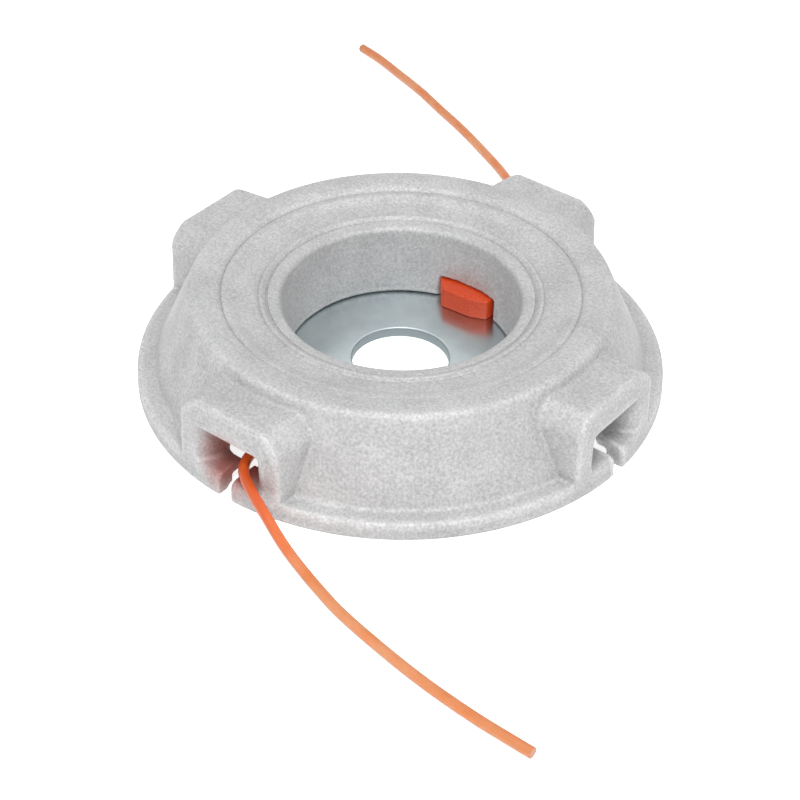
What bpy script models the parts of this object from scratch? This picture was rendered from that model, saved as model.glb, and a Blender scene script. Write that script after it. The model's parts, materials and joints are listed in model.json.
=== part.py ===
"""Fixed line trimmer head: a cast aluminium body with four bell-mouthed line ports, a steel
arbor plate screwed up under its hub, and two stiff pre-cut lines held in nylon locks.

Metres, +Z up. The rim stands on z = 0 and the arbor's axis is the Z axis. The ports lie on
the X and Y axes, and the two lines leave by the -Y and +Y ports.
"""
import math

import bmesh
import bpy
from mathutils import Matrix, Vector

# Clearances between pieces
GAP = 0.0003
SLOT_CLEARANCE = 0.0010
OVERCUT = 0.0010

# Line and arbor
LINE_DIAMETER = 0.0027
ARBOR_RADIUS = 0.0127

# Arbor plate
PLATE_LIFT = 0.0004
PLATE_THICKNESS = 0.0030
PLATE_MARGIN = 0.0075
PLATE_CHAMFER = 0.0005

# Hub: the bore above the plate, its wall and the posts for the plate's screws
BORE_RADIUS = 0.0293
BORE_DRAFT = 0.00165
HUB_WALL = 0.0052
HUB_DRAFT = 0.0006
POST_OFFSET = 0.0050
POST_RADIUS = 0.0054
POST_DRAFT = 0.0004
POST_COUNT = 4

# Dished top, from the bore outwards
LIP_WIDTH = 0.0029
LIP_ROUND = 0.0015
LIP_RISE = 0.0005
GROOVE_WIDTH = 0.0005
GROOVE_DEPTH = 0.0004
COLLAR_WIDTH = 0.0024
COLLAR_RISE = 0.0003
COLLAR_STEP = 0.00025
BAND_WIDTH = 0.0066
BAND_RISE = 0.0006
RING_STEP = 0.0005
RING_WIDTH = 0.01065
RING_RISE = 0.00267
SHOULDER_ROUND = 0.0024

# Flank and rim
FLANK_RUN = 0.0096
FOOT_ROUND = 0.0014
LEDGE_WIDTH = 0.0049
LEDGE_FALL = 0.0004
RIM_HEIGHT = 0.0048
RIM_DRAFT = 0.0002
RIM_LAP = 0.0006
RIM_TOP_ROUND = 0.0010
RIM_FOOT_ROUND = 0.0007
RIM_INNER_DRAFT = 0.0021
SHELL_WALL = 0.0035
ROOF = 0.0044
ROOF_DROP = 0.0006

# Line ports: throat, bell mouth and the boss around them
PORT_COUNT = 4
FLOOR_RISE = 0.0012
FLOOR_THICKNESS = 0.0023
THROAT_HALF_WIDTH = 0.0065
THROAT_HEIGHT = 0.0075
THROAT_ROUND = 0.0012
MOUTH_LENGTH = 0.0075
MOUTH_SPREAD = 0.0028
MOUTH_RISE = 0.0041
CHEEK_ROLL = 0.0062
CHEEK_ROLL_LENGTH = 0.0036
FLOOR_ROLL = 0.0022
FLOOR_ROLL_LENGTH = 0.0024
ROLL_END = 0.98
CORNER_SHARE = 0.33
TRIM_INSET = 0.0001
BOSS_BROW = 0.0060
BOSS_SIDE_WALL = 0.0077
BOSS_FACE_DRAFT = 0.0019
BOSS_SIDE_DRAFT = 0.0003
BOSS_DEPTH = 0.0190
BOSS_FLARE = 0.34
BOSS_ROUND = 0.0030
BODY_ABOVE_BOSS = 0.0034

# Stiffening ribs between the posts and the shell
RIB_THICKNESS = 0.0030
RIB_DEPTH = 0.0085

# Line locks in the two bore windows
LOCK_HEIGHT = 0.0056
LOCK_TONGUE_HEIGHT = 0.0026
LOCK_FRONT_REACH = 0.0019
LOCK_LEFT = 0.0076
LOCK_HALF_WIDTH = 0.0063
LOCK_FRONT_FLAT = 0.0012
LOCK_SLANT = 0.0037
LOCK_STEP = 0.0022
LOCK_TAIL = 0.0058
LOCK_ROUND = 0.0004
LINE_HEIGHT_IN_LOCK = 0.0029
LOCKED_LENGTH = 0.0065
WINDOW_HALF_WIDTH = 0.0088

# Plate screws, countersunk
SCREW_RADIUS = 0.0025
SCREW_HEAD_RADIUS = 0.0046
SCREW_HEAD_HEIGHT = 0.0023
SCREW_LENGTH = 0.0140
SCREW_FLUSH = 0.0001
SOCKET_RADIUS = 0.0018
SOCKET_DEPTH = 0.0016
SCREW_TIP = 0.0010
PILOT_SPARE = 0.0015

# Facets
TURN_STEPS = 72
SMALL_STEPS = 24
LARGE_ROUND = 0.0020
LARGE_ROUND_STEP = math.radians(18.0)
SMALL_ROUND_STEP = math.radians(45.0)
MOUTH_STATIONS = 8
CORNER_SEGMENTS = 4
LINE_POINTS = 24

# Radii that follow, from the bore outwards
BORE_TOP_RADIUS = BORE_RADIUS + BORE_DRAFT
GROOVE_RADIUS = BORE_TOP_RADIUS + LIP_WIDTH
COLLAR_RADIUS = GROOVE_RADIUS + GROOVE_WIDTH
BAND_RADIUS = COLLAR_RADIUS + COLLAR_WIDTH
RING_RADIUS = BAND_RADIUS + BAND_WIDTH
SHOULDER_RADIUS = RING_RADIUS + RING_WIDTH
FOOT_RADIUS = SHOULDER_RADIUS + FLANK_RUN
RIM_RADIUS = FOOT_RADIUS + LEDGE_WIDTH
RIM_INNER_RADIUS = FOOT_RADIUS - RIM_LAP
HUB_RADIUS = BORE_RADIUS + HUB_WALL
POST_CIRCLE = HUB_RADIUS + POST_OFFSET
PLATE_RADIUS = POST_CIRCLE + PLATE_MARGIN

# Heights that follow, from the rim upwards
PLATE_TOP = PLATE_LIFT + PLATE_THICKNESS
HUB_FOOT = PLATE_TOP + GAP
FLANK_FOOT = RIM_HEIGHT + LEDGE_FALL
FLOOR_TOP = RIM_HEIGHT + FLOOR_RISE
FLOOR_UNDER = FLOOR_TOP - FLOOR_THICKNESS
THROAT_TOP = FLOOR_TOP + THROAT_HEIGHT
MOUTH_TOP = THROAT_TOP + MOUTH_RISE
BOSS_TOP = MOUTH_TOP + BOSS_BROW
SHOULDER_TOP = BOSS_TOP + BODY_ABOVE_BOSS
RING_FOOT = SHOULDER_TOP - RING_RISE
BAND_TOP = RING_FOOT - RING_STEP
BAND_FOOT = BAND_TOP - BAND_RISE
COLLAR_TOP = BAND_FOOT + COLLAR_STEP
COLLAR_FOOT = COLLAR_TOP - COLLAR_RISE
LIP_TOP = COLLAR_FOOT - LIP_RISE
CEILING = COLLAR_FOOT - ROOF
LOCK_TOP = HUB_FOOT + LOCK_HEIGHT
WINDOW_TOP = LOCK_TOP + GAP
LINE_IN_LOCK = HUB_FOOT + LINE_HEIGHT_IN_LOCK

FLANK_SLOPE = FLANK_RUN / (SHOULDER_TOP - FLANK_FOOT)
BOSS_ROOT = RIM_RADIUS - BOSS_DEPTH
BOSS_HALF_WIDTH = THROAT_HALF_WIDTH + BOSS_SIDE_WALL
LOCK_FRONT = BORE_RADIUS - LOCK_FRONT_REACH
LOCK_BACK = HUB_RADIUS + LOCK_TAIL
SLOT_WIDTH = LINE_DIAMETER + SLOT_CLEARANCE

PORT_ANGLES = [math.radians(360.0 / PORT_COUNT * number) for number in range(PORT_COUNT)]
POST_ANGLES = [math.radians(360.0 / POST_COUNT * (number + 0.5)) for number in range(POST_COUNT)]
LINE_ANGLES = {"front": math.radians(-90.0), "rear": math.radians(90.0)}

# Routes of the two lines from their locks to their square-cut tips, as they lie
FRONT_ROUTE = [
    (0.0000, -0.0345, 0.0066),
    (0.0000, -0.0430, 0.0069),
    (0.0001, -0.0530, 0.0079),
    (0.0010, -0.0605, 0.0086),
    (0.0041, -0.0657, 0.0086),
    (0.0100, -0.0695, 0.0083),
    (0.0163, -0.0727, 0.0079),
    (0.0288, -0.0786, 0.0069),
    (0.0428, -0.0834, 0.0058),
    (0.0537, -0.0861, 0.0050),
    (0.0731, -0.0889, 0.0037),
    (0.0899, -0.0899, 0.0026),
    (0.1063, -0.0897, 0.0017),
]
REAR_ROUTE = [
    (0.0000, 0.0345, 0.0066),
    (0.0000, 0.0430, 0.0069),
    (-0.0001, 0.0530, 0.0079),
    (-0.0012, 0.0607, 0.0086),
    (-0.0044, 0.0660, 0.0086),
    (-0.0098, 0.0709, 0.0083),
    (-0.0190, 0.0783, 0.0076),
    (-0.0298, 0.0860, 0.0067),
    (-0.0402, 0.0922, 0.0060),
    (-0.0552, 0.1003, 0.0052),
    (-0.0688, 0.1069, 0.0044),
    (-0.0815, 0.1131, 0.0037),
    (-0.0935, 0.1181, 0.0030),
    (-0.1057, 0.1231, 0.0023),
    (-0.1155, 0.1262, 0.0017),
]


def make_collection(name):
    """A new collection of the scene."""
    collection = bpy.data.collections.new(name)
    bpy.context.scene.collection.children.link(collection)
    return collection


def make_material(name, colour, roughness, metallic):
    """A Principled material with a linear colour."""
    material = bpy.data.materials.new(name)
    material.use_nodes = True
    shader = material.node_tree.nodes["Principled BSDF"]
    shader.inputs["Base Color"].default_value = (*colour, 1.0)
    shader.inputs["Roughness"].default_value = roughness
    shader.inputs["Metallic"].default_value = metallic
    material.diffuse_color = (*colour, 1.0)
    return material


def add_object(name, data, collection):
    """An object of a mesh or a curve, linked to its collection."""
    made = bpy.data.objects.new(name, data)
    collection.objects.link(made)
    return made


def hide_cutter(cutter):
    """Shows a cutter as wire, out of the render."""
    cutter.hide_render = True
    cutter.display_type = "WIRE"
    return cutter


def rounded(corners, closed):
    """The points of an outline whose corners (x, y, radius) are arcs, each within its walls."""
    points = []
    count = len(corners)
    for index, (x, y, radius) in enumerate(corners):
        corner = Vector((x, y))
        at_end = not closed and index in (0, count - 1)
        if radius <= 0.0 or at_end:
            points.append(corner)
            continue
        before = Vector(corners[index - 1][:2]) - corner
        after = Vector(corners[(index + 1) % count][:2]) - corner
        half = before.angle(after) / 2.0
        reach = min(radius / math.tan(half), 0.48 * before.length, 0.48 * after.length)
        radius = reach * math.tan(half)
        centre = corner + (before.normalized() + after.normalized()).normalized() * radius / math.sin(half)
        start = corner + before.normalized() * reach - centre
        end = corner + after.normalized() * reach - centre
        turn = start.angle_signed(end)
        largest_step = LARGE_ROUND_STEP if radius > LARGE_ROUND else SMALL_ROUND_STEP
        segments = max(1, math.ceil(abs(turn) / largest_step))
        for step in range(segments + 1):
            points.append(centre + Matrix.Rotation(-turn * step / segments, 2) @ start)
    return points


def turned(name, corners, steps, collection, closed=True):
    """A ring or disc turned about Z from corners (radius, height, fillet) down its outer side."""
    points = rounded(corners, closed)
    edges = [(index, index + 1) for index in range(len(points) - 1)]
    if closed:
        edges.append((len(points) - 1, 0))
    mesh = bpy.data.meshes.new(name)
    mesh.from_pydata([(point.x, 0.0, point.y) for point in points], edges, [])
    made = add_object(name, mesh, collection)
    screw = made.modifiers.new("turn", "SCREW")
    screw.axis = "Z"
    screw.angle = math.tau
    screw.steps = steps
    screw.render_steps = steps
    screw.use_merge_vertices = True
    screw.merge_threshold = 0.00001
    screw.use_smooth_shade = True
    return made


def prism(name, outline, low, high, collection):
    """An upright prism of a plan outline, between two heights."""
    curve = bpy.data.curves.new(name, "CURVE")
    curve.dimensions = "2D"
    curve.fill_mode = "BOTH"
    curve.extrude = (high - low) / 2.0
    spline = curve.splines.new("POLY")
    spline.points.add(len(outline) - 1)
    for point, (x, y) in zip(spline.points, outline):
        point.co = (x, y, 0.0, 1.0)
    spline.use_cyclic_u = True
    shape = add_object(name + "_outline", curve, collection)
    bpy.context.view_layer.update()
    evaluated = shape.evaluated_get(bpy.context.evaluated_depsgraph_get())
    mesh = bpy.data.meshes.new_from_object(evaluated)
    bpy.data.objects.remove(shape)
    shell = bmesh.new()
    shell.from_mesh(mesh)
    bmesh.ops.remove_doubles(shell, verts=shell.verts, dist=0.000001)
    bmesh.ops.translate(shell, verts=shell.verts, vec=(0.0, 0.0, (low + high) / 2.0))
    bmesh.ops.recalc_face_normals(shell, faces=shell.faces)
    shell.to_mesh(mesh)
    shell.free()
    mesh.name = name
    return add_object(name, mesh, collection)


def repeat_about_axis(mesh, angles):
    """Turns one shape along +X into a set of copies about the Z axis."""
    copies = bmesh.new()
    for angle in angles:
        turned_mesh = mesh.copy()
        turned_mesh.transform(Matrix.Rotation(angle, 4, "Z"))
        copies.from_mesh(turned_mesh)
        bpy.data.meshes.remove(turned_mesh)
    copies.to_mesh(mesh)
    copies.free()


def combine(target, other, operation):
    """An exact Boolean of a piece with a cutter or a joined form."""
    boolean = target.modifiers.new(operation.lower() + "_" + other.name, "BOOLEAN")
    boolean.operation = operation
    boolean.solver = "EXACT"
    boolean.object = other


def settle(piece, material, sharp_degrees=35.0):
    """Turns a piece's modifiers into its mesh, shaded smooth up to its real edges."""
    bpy.context.view_layer.update()
    evaluated = piece.evaluated_get(bpy.context.evaluated_depsgraph_get())
    mesh = bpy.data.meshes.new_from_object(evaluated)
    piece.modifiers.clear()
    piece.data = mesh
    mesh.name = piece.name
    mesh.materials.clear()
    mesh.materials.append(material)
    mesh.shade_smooth()
    mesh.set_sharp_from_angle(angle=math.radians(sharp_degrees))
    return piece


def flank_radius(height):
    """Outer radius of the flank at a height."""
    return FOOT_RADIUS - FLANK_SLOPE * (height - FLANK_FOOT)


def inner_radius(height):
    """Inner radius of the shell at a height, one wall inside the flank."""
    return flank_radius(height) - SHELL_WALL * math.hypot(1.0, FLANK_SLOPE)


def middle_radius(height):
    """Radius of the middle of the shell's wall at a height."""
    return (flank_radius(height) + inner_radius(height)) / 2.0


def body_blank(collection):
    """The turned casting before its ports: dished top, flank, rim, and the cavity underneath."""
    ceiling_corner = SHOULDER_TOP - ROOF - ROOF_DROP
    return turned("body_casting", [
        (BORE_TOP_RADIUS, LIP_TOP, LIP_ROUND),
        (GROOVE_RADIUS, LIP_TOP + LIP_RISE, 0.0),
        (GROOVE_RADIUS, LIP_TOP + LIP_RISE - GROOVE_DEPTH, 0.0),
        (COLLAR_RADIUS, LIP_TOP + LIP_RISE - GROOVE_DEPTH, 0.0),
        (COLLAR_RADIUS, COLLAR_FOOT, 0.0),
        (BAND_RADIUS, COLLAR_TOP, 0.0),
        (BAND_RADIUS, BAND_FOOT, 0.0),
        (RING_RADIUS, BAND_TOP, 0.0),
        (RING_RADIUS, RING_FOOT, 0.0),
        (SHOULDER_RADIUS, SHOULDER_TOP, SHOULDER_ROUND),
        (FOOT_RADIUS, FLANK_FOOT, FOOT_ROUND),
        (RIM_RADIUS - RIM_DRAFT, RIM_HEIGHT, RIM_TOP_ROUND),
        (RIM_RADIUS, 0.0, RIM_FOOT_ROUND),
        (RIM_INNER_RADIUS + RIM_INNER_DRAFT, 0.0, 0.0),
        (RIM_INNER_RADIUS, FLOOR_UNDER, 0.0),
        (inner_radius(FLOOR_UNDER), FLOOR_UNDER, 0.0),
        (inner_radius(ceiling_corner), ceiling_corner, ROOF / 2.0),
        (RING_RADIUS, CEILING + BAND_RISE, 0.0),
        (HUB_RADIUS + HUB_DRAFT, CEILING, ROOF / 2.0),
        (HUB_RADIUS, HUB_FOOT, 0.0),
        (BORE_RADIUS, HUB_FOOT, 0.0),
    ], TURN_STEPS, collection)


def core_cutter(collection):
    """A solid up to the middle of the shell's wall, which keeps the bosses out of the cavity."""
    top = SHOULDER_TOP - ROOF / 2.0
    rim_middle = (RIM_INNER_RADIUS + FOOT_RADIUS) / 2.0
    core = turned("core_cutter", [
        (0.0, top, 0.0),
        (middle_radius(top), top, 0.0),
        (middle_radius(FLANK_FOOT), FLANK_FOOT, 0.0),
        (rim_middle, FLANK_FOOT, 0.0),
        (rim_middle, -OVERCUT, 0.0),
        (0.0, -OVERCUT, 0.0),
    ], TURN_STEPS, collection, closed=False)
    core.rotation_euler = (0.0, 0.0, math.radians(180.0 / TURN_STEPS))
    return hide_cutter(core)


def rim_limit(collection):
    """A disc just inside the rim's edge, which trims the bosses' faces to the rim."""
    radius = RIM_RADIUS - RIM_DRAFT - TRIM_INSET
    limit = turned("rim_limit", [
        (0.0, SHOULDER_TOP, 0.0),
        (radius, SHOULDER_TOP, 0.0),
        (radius, 0.0, 0.0),
        (0.0, 0.0, 0.0),
    ], TURN_STEPS, collection, closed=False)
    limit.rotation_euler = (0.0, 0.0, math.radians(180.0 / TURN_STEPS))
    return hide_cutter(limit)


def port_bosses(collection, material):
    """Tapered blocks with rounded brows, one around each port, outside the shell's wall."""
    block = bmesh.new()
    bmesh.ops.create_cube(block, size=2.0)
    for vert in block.verts:
        upper = vert.co.z > 0.0
        outer = vert.co.x > 0.0
        radius = RIM_RADIUS if outer else BOSS_ROOT
        half_width = BOSS_HALF_WIDTH if outer else BOSS_HALF_WIDTH + BOSS_FLARE * BOSS_DEPTH
        if upper:
            radius -= BOSS_FACE_DRAFT
            half_width -= BOSS_SIDE_DRAFT
        height = BOSS_TOP if upper else RIM_HEIGHT / 4.0
        vert.co = (radius, math.copysign(half_width, vert.co.y), height)
    soft = []
    for edge in block.edges:
        ends = [vert.co for vert in edge.verts]
        at_face = all(end.x > (RIM_RADIUS + BOSS_ROOT) / 2.0 for end in ends)
        at_top = all(end.z > RIM_HEIGHT for end in ends)
        upright = abs(ends[0].z - ends[1].z) > RIM_HEIGHT
        along = abs(ends[0].x - ends[1].x) > BOSS_DEPTH / 2.0
        if (at_face and (at_top or upright)) or (at_top and along):
            soft.append(edge)
    bmesh.ops.bevel(block, geom=soft, offset=BOSS_ROUND, segments=CORNER_SEGMENTS, profile=0.5,
                    affect="EDGES", clamp_overlap=True)
    mesh = bpy.data.meshes.new("port_bosses")
    block.to_mesh(mesh)
    block.free()
    repeat_about_axis(mesh, PORT_ANGLES)
    bosses = hide_cutter(add_object("port_bosses", mesh, collection))
    combine(bosses, core_cutter(collection), "DIFFERENCE")
    combine(bosses, rim_limit(collection), "INTERSECT")
    return settle(bosses, material)


def roll(distance, length, depth):
    """How far a rounded lip has turned away, at a distance along its length."""
    along = min(max(distance / length, 0.0), ROLL_END)
    return depth * (1.0 - math.sqrt(1.0 - along * along))


def port_section(radius):
    """One section of a port: a rectangle with rounded corners, at a distance from the arbor's axis."""
    spread = min(max((radius - RIM_RADIUS) / MOUTH_LENGTH + 1.0, 0.0), 1.0)
    cheek = roll(radius - RIM_RADIUS + CHEEK_ROLL_LENGTH, CHEEK_ROLL_LENGTH, CHEEK_ROLL)
    half_width = THROAT_HALF_WIDTH + MOUTH_SPREAD * spread + cheek
    top = THROAT_TOP + MOUTH_RISE * spread
    floor = FLOOR_TOP - roll(radius - RIM_RADIUS + FLOOR_ROLL_LENGTH, FLOOR_ROLL_LENGTH, FLOOR_ROLL)
    reach = THROAT_ROUND + CORNER_SHARE * cheek
    corners = [(1.0, 1.0, 90.0), (1.0, -1.0, 0.0), (-1.0, -1.0, -90.0), (-1.0, 1.0, 180.0)]
    points = []
    for side, lift, first in corners:
        y = side * (half_width - reach)
        z = (top if lift > 0.0 else floor) - lift * reach
        for step in range(CORNER_SEGMENTS + 1):
            angle = math.radians(first - 90.0 * step / CORNER_SEGMENTS)
            points.append((radius, y + reach * math.cos(angle), z + reach * math.sin(angle)))
    return points


def port_cutter(collection):
    """The four line ports: a straight throat that opens into a funnel with rolled lips."""
    distances = [BOSS_ROOT, RIM_RADIUS - MOUTH_LENGTH]
    for station in range(MOUTH_STATIONS + 1):
        along = math.sin(math.radians(90.0) * station / MOUTH_STATIONS)
        distances.append(RIM_RADIUS - CHEEK_ROLL_LENGTH * (1.0 - along))
    distances.append(RIM_RADIUS + LEDGE_WIDTH)
    loft = bmesh.new()
    rings = [[loft.verts.new(point) for point in port_section(distance)] for distance in distances]
    for near, far in zip(rings, rings[1:]):
        for index in range(len(near)):
            after = (index + 1) % len(near)
            loft.faces.new((near[index], near[after], far[after], far[index]))
    loft.faces.new(rings[0])
    loft.faces.new(rings[-1])
    bmesh.ops.remove_doubles(loft, verts=loft.verts, dist=0.000001)
    bmesh.ops.recalc_face_normals(loft, faces=loft.faces)
    mesh = bpy.data.meshes.new("port_cutter")
    loft.to_mesh(mesh)
    loft.free()
    repeat_about_axis(mesh, PORT_ANGLES)
    return hide_cutter(add_object("port_cutter", mesh, collection))


def slot_cutter(collection):
    """Slots through the floor, the lip and the rim below each port."""
    inner = inner_radius(THROAT_TOP)
    outer = RIM_RADIUS + OVERCUT
    outline = [
        (inner, -SLOT_WIDTH / 2.0),
        (outer, -SLOT_WIDTH / 2.0),
        (outer, SLOT_WIDTH / 2.0),
        (inner, SLOT_WIDTH / 2.0),
    ]
    cutter = prism("slot_cutter", outline, -OVERCUT, FLOOR_TOP + THROAT_HEIGHT / 2.0, collection)
    repeat_about_axis(cutter.data, PORT_ANGLES)
    return hide_cutter(cutter)


def window_cutter(collection):
    """Windows through the hub's wall, narrower on the outside so that a lock wedges in them."""
    narrow = LOCK_HALF_WIDTH + GAP
    slope = (WINDOW_HALF_WIDTH - narrow) / HUB_WALL
    near = BORE_RADIUS - LOCK_FRONT_REACH
    far = HUB_RADIUS + OVERCUT
    near_half = WINDOW_HALF_WIDTH + slope * LOCK_FRONT_REACH
    outline = [(near, -near_half), (HUB_RADIUS, -narrow), (far, -narrow),
               (far, narrow), (HUB_RADIUS, narrow), (near, near_half)]
    cutter = prism("window_cutter", outline, -OVERCUT, WINDOW_TOP, collection)
    repeat_about_axis(cutter.data, LINE_ANGLES.values())
    return hide_cutter(cutter)


def post_pieces(collection):
    """Posts from the roof down to the plate, which take its screws."""
    post = bmesh.new()
    top = CEILING + ROOF / 3.0
    matrix = Matrix.Translation((POST_CIRCLE, 0.0, (HUB_FOOT + top) / 2.0))
    bmesh.ops.create_cone(post, cap_ends=True, segments=SMALL_STEPS, radius1=POST_RADIUS,
                          radius2=POST_RADIUS + POST_DRAFT, depth=top - HUB_FOOT, matrix=matrix)
    mesh = bpy.data.meshes.new("screw_posts")
    post.to_mesh(mesh)
    post.free()
    repeat_about_axis(mesh, POST_ANGLES)
    return hide_cutter(add_object("screw_posts", mesh, collection))


def rib_pieces(collection):
    """Radial ribs under the roof, from each post to the shell."""
    foot = CEILING + ROOF / 2.0 - RIB_DEPTH
    wall = SHELL_WALL / 2.0 * math.hypot(1.0, FLANK_SLOPE)
    top_inner = CEILING + ROOF / 2.0
    top_outer = SHOULDER_TOP - ROOF / 2.0 - ROOF_DROP
    side = [
        (POST_CIRCLE, top_inner),
        (RING_RADIUS, top_inner + BAND_RISE),
        (inner_radius(top_outer) + wall / 2.0, top_outer),
        (flank_radius(foot) - wall, foot),
        (POST_CIRCLE, foot),
    ]
    rib = prism("stiffening_ribs", side, -RIB_THICKNESS / 2.0, RIB_THICKNESS / 2.0, collection)
    rib.data.transform(Matrix.Rotation(math.radians(90.0), 4, "X"))
    repeat_about_axis(rib.data, POST_ANGLES)
    return hide_cutter(rib)


def round_cutter(name, radius, low, high, centre, collection):
    """An upright round cutter whose axis is at a place in plan."""
    shape = bmesh.new()
    matrix = Matrix.Translation((centre[0], centre[1], (low + high) / 2.0))
    bmesh.ops.create_cone(shape, cap_ends=True, segments=SMALL_STEPS, radius1=radius,
                          radius2=radius, depth=high - low, matrix=matrix)
    mesh = bpy.data.meshes.new(name)
    shape.to_mesh(mesh)
    shape.free()
    return hide_cutter(add_object(name, mesh, collection))


def make_body(parts, cutters, material):
    """The one-piece casting."""
    body = body_blank(parts)
    combine(body, port_bosses(cutters, material), "UNION")
    combine(body, port_cutter(cutters), "DIFFERENCE")
    combine(body, slot_cutter(cutters), "DIFFERENCE")
    combine(body, window_cutter(cutters), "DIFFERENCE")
    combine(body, post_pieces(cutters), "UNION")
    combine(body, rib_pieces(cutters), "UNION")
    pilot_top = PLATE_LIFT + SCREW_LENGTH + PILOT_SPARE
    pilots = round_cutter("pilot_cutter", SCREW_RADIUS + GAP, 0.0, pilot_top, (POST_CIRCLE, 0.0), cutters)
    repeat_about_axis(pilots.data, POST_ANGLES)
    combine(body, pilots, "DIFFERENCE")
    return settle(body, material)


def screw_profile(extra):
    """Countersunk head and shank, grown by a clearance, down the outer side from the tip."""
    head_foot = PLATE_LIFT + SCREW_FLUSH
    head_top = head_foot + SCREW_HEAD_HEIGHT
    return head_foot, head_top, SCREW_HEAD_RADIUS + extra, SCREW_RADIUS + extra


def make_plate(parts, cutters, material):
    """The round arbor plate with its centre hole and countersunk screw holes."""
    plate = turned("base_plate", [
        (ARBOR_RADIUS, PLATE_TOP, PLATE_CHAMFER),
        (PLATE_RADIUS, PLATE_TOP, PLATE_CHAMFER),
        (PLATE_RADIUS, PLATE_LIFT, PLATE_CHAMFER),
        (ARBOR_RADIUS, PLATE_LIFT, PLATE_CHAMFER),
    ], TURN_STEPS, parts)
    head_foot, head_top, head_radius, shank_radius = screw_profile(GAP)
    hole = turned("countersink_cutter", [
        (0.0, PLATE_TOP + OVERCUT, 0.0),
        (shank_radius, PLATE_TOP + OVERCUT, 0.0),
        (shank_radius, head_top, 0.0),
        (head_radius, head_foot, 0.0),
        (head_radius, PLATE_LIFT - OVERCUT, 0.0),
        (0.0, PLATE_LIFT - OVERCUT, 0.0),
    ], SMALL_STEPS, cutters, closed=False)
    settle(hole, material)
    hole.data.transform(Matrix.Translation((POST_CIRCLE, 0.0, 0.0)))
    repeat_about_axis(hole.data, POST_ANGLES)
    combine(plate, hide_cutter(hole), "DIFFERENCE")
    return settle(plate, material)


def make_screws(parts, cutters, material):
    """Four countersunk socket screws, heads down, flush under the plate."""
    head_foot, head_top, head_radius, shank_radius = screw_profile(0.0)
    tip = PLATE_LIFT + SCREW_LENGTH
    first = turned("plate_screw_1", [
        (0.0, tip, 0.0),
        (shank_radius - SCREW_TIP, tip, 0.0),
        (shank_radius, tip - SCREW_TIP, 0.0),
        (shank_radius, head_top, 0.0),
        (head_radius, head_foot + SCREW_FLUSH, 0.0),
        (head_radius, head_foot, 0.0),
        (0.0, head_foot, 0.0),
    ], SMALL_STEPS, parts, closed=False)
    socket = bmesh.new()
    bmesh.ops.create_cone(socket, cap_ends=True, segments=6, radius1=SOCKET_RADIUS,
                          radius2=SOCKET_RADIUS, depth=2.0 * SOCKET_DEPTH,
                          matrix=Matrix.Translation((0.0, 0.0, head_foot)))
    mesh = bpy.data.meshes.new("socket_cutter")
    socket.to_mesh(mesh)
    socket.free()
    combine(first, hide_cutter(add_object("socket_cutter", mesh, cutters)), "DIFFERENCE")
    settle(first, material)
    screws = [first]
    for number in range(2, POST_COUNT + 1):
        screws.append(add_object(f"plate_screw_{number}", first.data, parts))
    for screw, angle in zip(screws, POST_ANGLES):
        screw.location = (POST_CIRCLE * math.cos(angle), POST_CIRCLE * math.sin(angle), 0.0)
        screw.rotation_euler = (0.0, 0.0, angle)
    return screws


def make_lock(name, angle, parts, cutters, material):
    """A nylon lock: a flat tongue in the bore, a block behind it and a blind hole for the line."""
    outline = [
        (LOCK_FRONT, -LOCK_FRONT_FLAT),
        (LOCK_FRONT + LOCK_SLANT, -LOCK_HALF_WIDTH),
        (LOCK_BACK, -LOCK_HALF_WIDTH),
        (LOCK_BACK, LOCK_HALF_WIDTH),
        (HUB_RADIUS, LOCK_HALF_WIDTH),
        (LOCK_FRONT, LOCK_LEFT),
    ]
    lock = prism(name, outline, HUB_FOOT, LOCK_TOP, parts)
    step = LOCK_FRONT + LOCK_SLANT + LOCK_STEP
    above_tongue = prism(name + "_step", [
        (LOCK_FRONT - OVERCUT, -WINDOW_HALF_WIDTH),
        (step, -WINDOW_HALF_WIDTH),
        (step, WINDOW_HALF_WIDTH),
        (LOCK_FRONT - OVERCUT, WINDOW_HALF_WIDTH),
    ], HUB_FOOT + LOCK_TONGUE_HEIGHT, LOCK_TOP + OVERCUT, cutters)
    combine(lock, hide_cutter(above_tongue), "DIFFERENCE")
    edges = lock.modifiers.new("soft_edges", "BEVEL")
    edges.width = LOCK_ROUND
    edges.segments = 2
    edges.limit_method = "ANGLE"
    edges.angle_limit = math.radians(40.0)
    hole = bmesh.new()
    hole_depth = LOCKED_LENGTH + OVERCUT
    spin = Matrix.Rotation(math.radians(90.0), 4, "Y")
    place = Matrix.Translation((LOCK_BACK - LOCKED_LENGTH + hole_depth / 2.0, 0.0, LINE_IN_LOCK))
    bmesh.ops.create_cone(hole, cap_ends=True, segments=SMALL_STEPS // 2,
                          radius1=LINE_DIAMETER / 2.0 + GAP, radius2=LINE_DIAMETER / 2.0 + GAP,
                          depth=hole_depth, matrix=place @ spin)
    mesh = bpy.data.meshes.new(name + "_hole")
    hole.to_mesh(mesh)
    hole.free()
    line_hole = hide_cutter(add_object(name + "_hole", mesh, cutters))
    combine(lock, line_hole, "DIFFERENCE")
    settle(lock, material)
    for turned_piece in (lock, above_tongue, line_hole):
        turned_piece.rotation_euler = (0.0, 0.0, angle)
    return lock


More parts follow.
